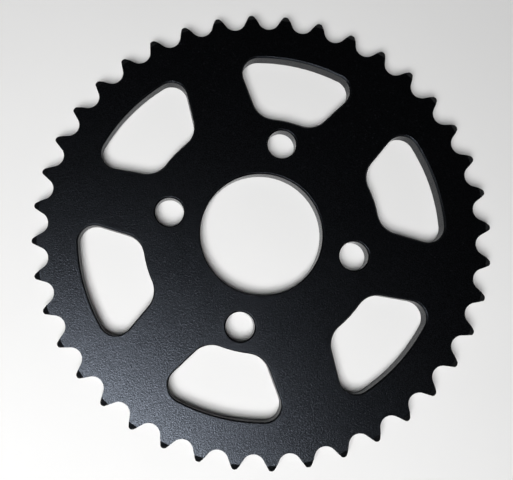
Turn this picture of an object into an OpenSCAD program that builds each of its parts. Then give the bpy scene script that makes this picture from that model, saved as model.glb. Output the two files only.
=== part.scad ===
/* Rear sprocket for a small motorcycle: one blanked steel plate, painted black.
   The plate lies in the XY plane with its back face on z = 0. The Z axis is the
   wheel axis, and +Y passes through a window and a bolt hole. */

/* [Chain and teeth] */
// Chain pitch, from roller centre to roller centre
chain_pitch = 12.7; // [12.6:0.05:12.8]
// Diameter of the chain's rollers
roller_d = 7.77; // [7.6:0.01:7.9]
// Number of teeth
teeth = 40; // [38:1:44]
// How far the tooth tips stand above the pitch circle
tip_height = 1.87; // [1.6:0.01:2.1]
// Angle between a tooth flank and the middle line of the gap beside it
flank_angle = 31; // [29:0.5:33]
// Angle from the +Y axis to the middle of the first gap, anticlockwise
tooth_phase = 1.8; // [0:0.1:9]
// Width of the relief on the tooth tips, measured along the radius
relief_w = 2.1; // [1.5:0.1:2.4]
// Depth of the relief on the tooth tips, measured along the axis
relief_h = 1.1; // [0.6:0.1:1.6]

/* [Plate] */
// Thickness of the plate
plate_t = 5.8; // [5:0.1:7]
// Diameter of the bore that sits on the hub
bore_d = 44; // [40:0.5:48]
// Width of the broken edges around the bore, the bolt holes and the windows
edge_break = 0.5; // [0.1:0.05:0.7]

/* [Bolt holes] */
// Number of bolt holes
bolt_count = 4; // [3:1:4]
// Diameter of the circle through the bolt holes
bolt_circle_d = 68; // [66:0.5:70]
// Diameter of a bolt hole
bolt_hole_d = 10.4; // [9:0.1:11]

/* [Windows] */
// Number of windows
window_count = 6; // [4:1:6]
// Radius of the outer arc of a window, from the wheel axis
window_outer_r = 66; // [64:0.5:68]
// Radius of the inner arc of a window, from the wheel axis
window_inner_r = 42.8; // [42:0.2:45]
// Angle between a window's straight side and its middle line
window_side_angle = 33.5; // [32:0.5:36]
// Distance from the wheel axis to the point where the two sides would meet
window_apex = 26; // [24:0.5:27]
// Radius of a window's outer corners
window_outer_round = 6; // [4:0.5:7]
// Radius of a window's inner corners
window_inner_round = 8.5; // [6:0.5:9]

/* [Hidden] */
$fn = 96;

// Outlines overlap by this much where a line or an arc runs on into another arc
overlap = 0.005;
// The blank that the teeth are cut from reaches this far past the tips
blank_margin = 1;
// A tooth's outline runs on into the disc by this much, so that the two join
root_depth = 2;
// Cuts reach this far past both faces of the plate
reach = 1;
// Where a cut ends, past a face, its 45 degree flare has made it this much wider
flare = edge_break + reach;

// Tooth form: the rollers' centres lie on the pitch circle, and the seat arc is
// a little wider than the roller, by the standard rule for roller chains
seat_share = 0.505;
seat_allowance = 0.069;
pitch_r = chain_pitch / 2 / sin(180 / teeth);
seat_r = seat_share * roller_d + seat_allowance * pow(roller_d, 1 / 3);
half_tooth = 180 / teeth;
outside_r = pitch_r + tip_height;

// Where a seat arc runs on into the flank, seen from the middle of the gap
flank_start = [seat_r * cos(flank_angle), pitch_r - seat_r * sin(flank_angle)];
shoulder_r = norm(flank_start);
// The same point seen from the middle of the tooth: half width and height
shoulder_angle = half_tooth - atan(flank_start[0] / flank_start[1]);
shoulder = [shoulder_r * sin(shoulder_angle), shoulder_r * cos(shoulder_angle)];

// The round tip touches both flanks, which lean in by tip_angle
tip_angle = flank_angle - half_tooth;
apex_r = shoulder[1] + shoulder[0] / tan(tip_angle);
tip_round = (apex_r - outside_r) / (1 / sin(tip_angle) - 1);
tip_centre = outside_r - tip_round;

// Window corners: each corner circle touches an arc and a straight side. side_out
// points out of the window across its right side, and side_up runs along that side.
// side_d is how far that side lies from the wheel axis, measured along side_out.
side_out = [cos(window_side_angle), -sin(window_side_angle)];
side_up = [sin(window_side_angle), cos(window_side_angle)];
side_d = -window_apex * sin(window_side_angle);
outer_corner_r = window_outer_r - window_outer_round + overlap;
inner_corner_r = window_inner_r + window_inner_round - overlap;
// A window's rough outline runs past its arcs by these factors, and cuts trim it
past_outer = 1.2;
past_inner = 0.7;
// Long enough for any cut along a window's side, and deep enough for its width
side_length = 4 * window_outer_r;
side_depth = 2 * window_outer_r;

// Centre of a corner circle of radius r whose centre is centre_r from the axis
function corner(r, centre_r) =
    let (across = side_d - r)
    across * side_out + sqrt(centre_r * centre_r - across * across) * side_up;

outer_corner = corner(window_outer_round, outer_corner_r);
inner_corner = corner(window_inner_round, inner_corner_r);

function mirrored(p) = [-p[0], p[1]];

// One tooth pointing along +Y: straight flanks and a round tip
module tooth() {
    flank_out = [cos(tip_angle), sin(tip_angle)];
    flank_up = [-sin(tip_angle), cos(tip_angle)];
    root = shoulder + overlap * flank_out - root_depth * flank_up;
    top = [0, tip_centre] + (tip_round - overlap) * flank_out;
    polygon([root, top, mirrored(top), mirrored(root)]);
    translate([0, tip_centre])
        circle(r = tip_round);
}

// Outline of the disc, its teeth and the roller seats between them
module toothed_disc() {
    difference() {
        union() {
            circle(r = shoulder_r);
            for (i = [0 : teeth - 1])
                rotate(tooth_phase + (i + 0.5) * 360 / teeth)
                    tooth();
        }
        for (i = [0 : teeth - 1])
            rotate(tooth_phase + i * 360 / teeth)
                translate([0, pitch_r])
                    circle(r = seat_r);
    }
}

// Section of a cut that widens by 45 degrees where it meets the two faces.
// Its wall stands at x = wall_x, and dir is 1 where the cut lies towards -x.
module broken_edge_section(back_x, wall_x, dir = 1) {
    open_x = wall_x + dir * flare;
    polygon([
        [back_x, -reach],
        [open_x, -reach],
        [wall_x, edge_break],
        [wall_x, plate_t - edge_break],
        [open_x, plate_t + reach],
        [back_x, plate_t + reach],
    ]);
}

// A round cut through the plate; with dir = -1 it is a core that narrows instead
module round_cut(r, dir = 1) {
    rotate_extrude()
        broken_edge_section(0, r, dir);
}

// A long straight cut that holds everything to the left of a window's right side
module side_cut() {
    translate((side_d - overlap) * side_out)
        rotate([90, 0, -window_side_angle])
            linear_extrude(side_length, center = true)
                broken_edge_section(-side_depth, 0);
}

// One window centred on +Y: two arcs about the axis, two sides, round corners
module window() {
    outer_side = outer_corner + (window_outer_round + 2 * flare) * side_out;
    inner_side = inner_corner + (window_inner_round + 2 * flare) * side_out;
    outer_end = outer_corner * past_outer;
    inner_end = inner_corner * past_inner;
    right = [outer_end, outer_corner, outer_side, inner_side, inner_corner, inner_end];
    left = [for (i = [len(right) - 1 : -1 : 0]) mirrored(right[i])];
    difference() {
        intersection() {
            round_cut(window_outer_r);
            union() {
                intersection() {
                    translate([0, 0, -reach])
                        linear_extrude(plate_t + 2 * reach)
                            polygon(concat(right, left));
                    side_cut();
                    mirror([1, 0, 0])
                        side_cut();
                }
                for (side = [-1, 1]) {
                    translate([side * outer_corner[0], outer_corner[1], 0])
                        round_cut(window_outer_round);
                    translate([side * inner_corner[0], inner_corner[1], 0])
                        round_cut(window_inner_round);
                }
            }
        }
        round_cut(window_inner_r, -1);
    }
}

// Section of the turned blank, whose rim gives the teeth their relief
module blank_section() {
    rim = outside_r + blank_margin;
    slope = relief_h / relief_w;
    cut = slope * (rim - outside_r + relief_w);
    polygon([
        [0, 0],
        [outside_r - relief_w, 0],
        [rim, cut],
        [rim, plate_t - cut],
        [outside_r - relief_w, plate_t],
        [0, plate_t],
    ]);
}

module sprocket_plate() {
    color([0.07, 0.07, 0.08])
    difference() {
        intersection() {
            rotate_extrude()
                blank_section();
            linear_extrude(plate_t)
                toothed_disc();
        }
        for (i = [0 : window_count - 1])
            rotate(i * 360 / window_count)
                window();
        round_cut(bore_d / 2);
        for (i = [0 : bolt_count - 1])
            rotate(90 + i * 360 / bolt_count)
                translate([bolt_circle_d / 2, 0, 0])
                    round_cut(bolt_hole_d / 2);
    }
}

sprocket_plate();
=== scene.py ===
"""Looks of the rear sprocket: a blanked steel plate in satin black paint, lying on a pale table."""
import math

import bpy
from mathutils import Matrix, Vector

PLATE_NODE = "sprocket_plate"

# Camera: where it stands over the plate and what it cannot see, in metres, how it is turned,
# in degrees, and its lens and sensor, in millimetres
CAMERA_PLACE = (-0.0210, -0.0341, 0.2267)
CAMERA_NEAREST = 0.01
CAMERA_TILT = 6.49
CAMERA_ROLL = 13.58
CAMERA_LENS = 43.5
CAMERA_SENSOR = 36.0
CAMERA_SHIFT = (0.1446, 0.0046)

# Oval lamps that face the middle of the plate: azimuth from +X and tilt from +Z in degrees,
# then distance, width and height in metres, and power in watts. The key lights the table and
# casts the shadows, and the sheen shows only in the paint's gloss.
LAMPS = {
    "key": dict(azimuth=252.0, tilt=26.0, distance=0.60, width=0.36, height=0.44, power=5.25),
    "sheen": dict(azimuth=251.5, tilt=31.0, distance=0.48, width=0.36, height=0.18, power=6.4),
}
GLOSS_LAMP = "sheen"

# Room: pale up to the horizon, then fading to a dark ceiling, reached at this sine of the
# angle above the horizon
HORIZON_COLOUR = (0.50, 0.50, 0.50)
CEILING_COLOUR = (0.004, 0.004, 0.004)
WALL_TOP = 0.15

# Noises are given by their cells per metre and their detail. The part of the noise between
# the two limits is stretched over the two levels, or from none to all where no levels stand.

TABLE_COLOUR = (0.685, 0.683, 0.680)
TABLE_ROUGHNESS = 0.75
TABLE_SPECULAR = 0.2
TABLE_MOTTLE = dict(scale=18.0, detail=3.0, limits=(0.35, 0.65))
MOTTLE_SHADE = 0.985
# The table fades into the room between these two distances from the wheel axis, where the
# lamps no longer reach it
TABLE_FADE = (0.22, 0.60)
# It lies a hair below the plate, so that no two faces are in one plane
TABLE_GAP = 0.00005

PAINT_COLOUR = (0.0006, 0.0006, 0.0007)
PAINT_DUST_COLOUR = (0.006, 0.006, 0.007)
PAINT_SPECULAR_TINT = (0.75, 0.84, 1.0)
PAINT_DUST = dict(scale=1500.0, detail=1.0, limits=(0.66, 0.74))
PAINT_SHINE = dict(scale=2800.0, detail=1.0, limits=(0.38, 0.62), levels=(0.14, 0.30))

# Relief of the paint: a fine sandy grain over a softer unevenness, with heights in metres
GRAIN = dict(scale=2300.0, detail=2.0, roughness=0.6)
GRAIN_STRENGTH = 1.0
GRAIN_HEIGHT = 0.00009
PEEL = dict(scale=420.0, detail=2.0)
PEEL_STRENGTH = 0.30
PEEL_HEIGHT = 0.00004

# Sharp edges look rounded by the thickness of the paint. They are rubbed in patches, where
# the rounded normal leans away from the face's own: these are the cosines of that lean at
# which the rubbing starts and is full.
EDGE_ROUNDING = 0.00018
EDGE_SAMPLES = 6
EDGE_LEAN = (0.99, 0.80)
RUBBED_COLOUR = (0.045, 0.045, 0.048)
RUBBED_PATCHES = dict(scale=260.0, detail=4.0, limits=(0.50, 0.66))

# Roughness of the flat faces, and of the hole walls inside and outside the start of the
# windows, which lies between these two distances from the wheel axis. A face counts as wall
# or as flat by how much it faces up or down.
FACE_ROUGHNESS = dict(scale=55.0, detail=3.0, limits=(0.3, 0.7), levels=(0.28, 0.29))
WALL_ROUGHNESS = (0.12, 0.32)
WINDOW_START = (0.0400, 0.0415)
WALL_TO_FLAT = (0.1, 0.9)


class Nodes:
    """A node tree, with short calls for adding and joining nodes."""

    def __init__(self, owner):
        owner.use_nodes = True
        self.tree = owner.node_tree
        self.tree.nodes.clear()

    def add(self, kind, **settings):
        node = self.tree.nodes.new(kind)
        for name, value in settings.items():
            setattr(node, name, value)
        return node

    def set(self, node, **values):
        for name, value in values.items():
            node.inputs[name.replace("_", " ")].default_value = value
        return node

    def link(self, source, target):
        self.tree.links.new(source, target)

    def noise(self, place, scale, detail, roughness=0.5):
        node = self.add("ShaderNodeTexNoise")
        self.set(node, Scale=scale, Detail=detail, Roughness=roughness)
        self.link(place, node.inputs["Vector"])
        return node.outputs["Fac"]

    def spread(self, value, low, high, to_low=0.0, to_high=1.0):
        """Maps low..high onto to_low..to_high and stops at both ends."""
        node = self.add("ShaderNodeMapRange")
        self.set(node, From_Min=low, From_Max=high, To_Min=to_low, To_Max=to_high)
        self.link(value, node.inputs["Value"])
        return node.outputs["Result"]

    def spread_noise(self, place, scale, detail, limits, levels=(0.0, 1.0)):
        return self.spread(self.noise(place, scale, detail), *limits, *levels)

    def length(self, vector):
        node = self.add("ShaderNodeVectorMath", operation="LENGTH")
        self.link(vector, node.inputs[0])
        return node.outputs["Value"]

    def dot(self, first, second):
        node = self.add("ShaderNodeVectorMath", operation="DOT_PRODUCT")
        self.link(first, node.inputs[0])
        self.link(second, node.inputs[1])
        return node.outputs["Value"]

    def product(self, first, second):
        node = self.add("ShaderNodeMath", operation="MULTIPLY")
        self.link(first, node.inputs[0])
        self.link(second, node.inputs[1])
        return node.outputs["Value"]

    def vertical_part(self, vector):
        node = self.add("ShaderNodeSeparateXYZ")
        self.link(vector, node.inputs["Vector"])
        return node.outputs["Z"]

    def size_of(self, value):
        node = self.add("ShaderNodeMath", operation="ABSOLUTE")
        self.link(value, node.inputs[0])
        return node.outputs["Value"]

    def mix_number(self, share, first, second):
        node = self.add("ShaderNodeMix", data_type="FLOAT")
        self.link(share, node.inputs["Factor"])
        self.link(first, node.inputs["A"])
        self.link(second, node.inputs["B"])
        return node.outputs["Result"]

    def mix_colour(self, share, first, second):
        node = self.add("ShaderNodeMix", data_type="RGBA")
        self.link(share, node.inputs["Factor"])
        for socket, colour in ((node.inputs["A"], first), (node.inputs["B"], second)):
            if isinstance(colour, tuple):
                socket.default_value = (*colour, 1.0)
            else:
                self.link(colour, socket)
        return node.outputs["Result"]

    def bump(self, height, strength, distance, normal):
        node = self.add("ShaderNodeBump")
        self.set(node, Strength=strength, Distance=distance)
        self.link(height, node.inputs["Height"])
        self.link(normal, node.inputs["Normal"])
        return node.outputs["Normal"]


def painted_steel():
    """Satin black paint with a fine sandy grain, faint specks and slightly rubbed edges."""
    material = bpy.data.materials.new("black_paint")
    nodes = Nodes(material)
    place = nodes.add("ShaderNodeTexCoord").outputs["Object"]
    flat = nodes.add("ShaderNodeNewGeometry").outputs["Normal"]
    bevel = nodes.add("ShaderNodeBevel", samples=EDGE_SAMPLES)
    nodes.set(bevel, Radius=EDGE_ROUNDING)
    rounded = bevel.outputs["Normal"]

    edge = nodes.spread(nodes.dot(rounded, flat), *EDGE_LEAN)
    rubbed = nodes.product(edge, nodes.spread_noise(place, **RUBBED_PATCHES))
    dusty = nodes.mix_colour(
        nodes.spread_noise(place, **PAINT_DUST), PAINT_COLOUR, PAINT_DUST_COLOUR
    )
    worn = nodes.mix_colour(rubbed, dusty, RUBBED_COLOUR)

    # The walls of the bore and the bolt holes are smoother than those of the windows
    roughness = nodes.mix_number(
        nodes.spread(nodes.size_of(nodes.vertical_part(flat)), *WALL_TO_FLAT),
        nodes.spread(nodes.length(place), *WINDOW_START, *WALL_ROUGHNESS),
        nodes.spread_noise(place, **FACE_ROUGHNESS),
    )

    peeled = nodes.bump(nodes.noise(place, **PEEL), PEEL_STRENGTH, PEEL_HEIGHT, rounded)
    sandy = nodes.bump(nodes.noise(place, **GRAIN), GRAIN_STRENGTH, GRAIN_HEIGHT, peeled)

    shader = nodes.add("ShaderNodeBsdfPrincipled")
    nodes.set(shader, Specular_Tint=(*PAINT_SPECULAR_TINT, 1.0))
    nodes.link(nodes.spread_noise(place, **PAINT_SHINE), shader.inputs["Specular IOR Level"])
    nodes.link(worn, shader.inputs["Base Color"])
    nodes.link(roughness, shader.inputs["Roughness"])
    nodes.link(sandy, shader.inputs["Normal"])
    output = nodes.add("ShaderNodeOutputMaterial")
    nodes.link(shader.outputs["BSDF"], output.inputs["Surface"])
    return material


def table_top():
    """Smooth pale table with the faintest mottling, which fades out far from the plate."""
    material = bpy.data.materials.new("table_top")
    nodes = Nodes(material)
    place = nodes.add("ShaderNodeTexCoord").outputs["Object"]
    mottle = nodes.spread_noise(place, **TABLE_MOTTLE)
    darker = tuple(MOTTLE_SHADE * part for part in TABLE_COLOUR)
    shader = nodes.add("ShaderNodeBsdfPrincipled")
    nodes.set(shader, Roughness=TABLE_ROUGHNESS, Specular_IOR_Level=TABLE_SPECULAR)
    nodes.link(nodes.mix_colour(mottle, darker, TABLE_COLOUR), shader.inputs["Base Color"])
    clear = nodes.add("ShaderNodeBsdfTransparent")
    blend = nodes.add("ShaderNodeMixShader")
    nodes.link(nodes.spread(nodes.length(place), *TABLE_FADE), blend.inputs["Fac"])
    nodes.link(shader.outputs["BSDF"], blend.inputs[1])
    nodes.link(clear.outputs["BSDF"], blend.inputs[2])
    output = nodes.add("ShaderNodeOutputMaterial")
    nodes.link(blend.outputs["Shader"], output.inputs["Surface"])
    return material


def add_table():
    """The table that the plate lies on."""
    bpy.ops.mesh.primitive_plane_add(size=2 * TABLE_FADE[1], location=(0, 0, -TABLE_GAP))
    table = bpy.context.object
    table.name = "table"
    table.data.materials.append(table_top())


def add_room():
    """Pale walls that fade into a dark ceiling."""
    world = bpy.data.worlds.new("room")
    bpy.context.scene.world = world
    nodes = Nodes(world)
    direction = nodes.add("ShaderNodeTexCoord").outputs["Generated"]
    height = nodes.spread(nodes.vertical_part(direction), 0.0, WALL_TOP)
    walls = nodes.mix_colour(height, HORIZON_COLOUR, CEILING_COLOUR)
    background = nodes.add("ShaderNodeBackground")
    nodes.link(walls, background.inputs["Color"])
    output = nodes.add("ShaderNodeOutputWorld")
    nodes.link(background.outputs["Background"], output.inputs["Surface"])


def add_lamp(name, azimuth, tilt, distance, width, height, power):
    """One soft oval lamp, its width level, that faces the middle of the plate."""
    tilt = math.radians(tilt)
    azimuth = math.radians(azimuth)
    away = Vector((
        math.sin(tilt) * math.cos(azimuth),
        math.sin(tilt) * math.sin(azimuth),
        math.cos(tilt),
    ))
    panel = bpy.data.lights.new(name, "AREA")
    panel.shape = "ELLIPSE"
    panel.size = width
    panel.size_y = height
    panel.energy = power
    light = bpy.data.objects.new(name, panel)
    light.location = distance * away
    light.rotation_mode = "QUATERNION"
    light.rotation_quaternion = away.to_track_quat("Z", "Y")
    light.visible_glossy = name == GLOSS_LAMP
    light.visible_diffuse = name != GLOSS_LAMP
    bpy.context.collection.objects.link(light)


def add_camera():
    """Looks down on the plate, tilted a little and turned about the wheel axis."""
    data = bpy.data.cameras.new("camera")
    data.sensor_width = CAMERA_SENSOR
    data.lens = CAMERA_LENS
    data.shift_x, data.shift_y = CAMERA_SHIFT
    data.clip_start = CAMERA_NEAREST
    camera = bpy.data.objects.new("camera", data)
    camera.location = CAMERA_PLACE
    camera.rotation_euler = (math.radians(CAMERA_TILT), 0.0, math.radians(CAMERA_ROLL))
    bpy.context.collection.objects.link(camera)
    bpy.context.scene.camera = camera


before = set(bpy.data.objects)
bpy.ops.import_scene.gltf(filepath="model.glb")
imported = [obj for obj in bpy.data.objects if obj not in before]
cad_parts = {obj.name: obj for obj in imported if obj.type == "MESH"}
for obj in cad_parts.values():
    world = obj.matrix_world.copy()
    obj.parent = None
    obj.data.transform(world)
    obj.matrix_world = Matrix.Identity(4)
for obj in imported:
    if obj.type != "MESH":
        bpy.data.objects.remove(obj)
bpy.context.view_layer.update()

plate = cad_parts[PLATE_NODE]
paint = painted_steel()
for slot in plate.material_slots:
    slot.material = paint

add_table()
add_room()
for name, settings in LAMPS.items():
    add_lamp(name, **settings)
add_camera()
bpy.context.scene.view_settings.view_transform = "Standard"
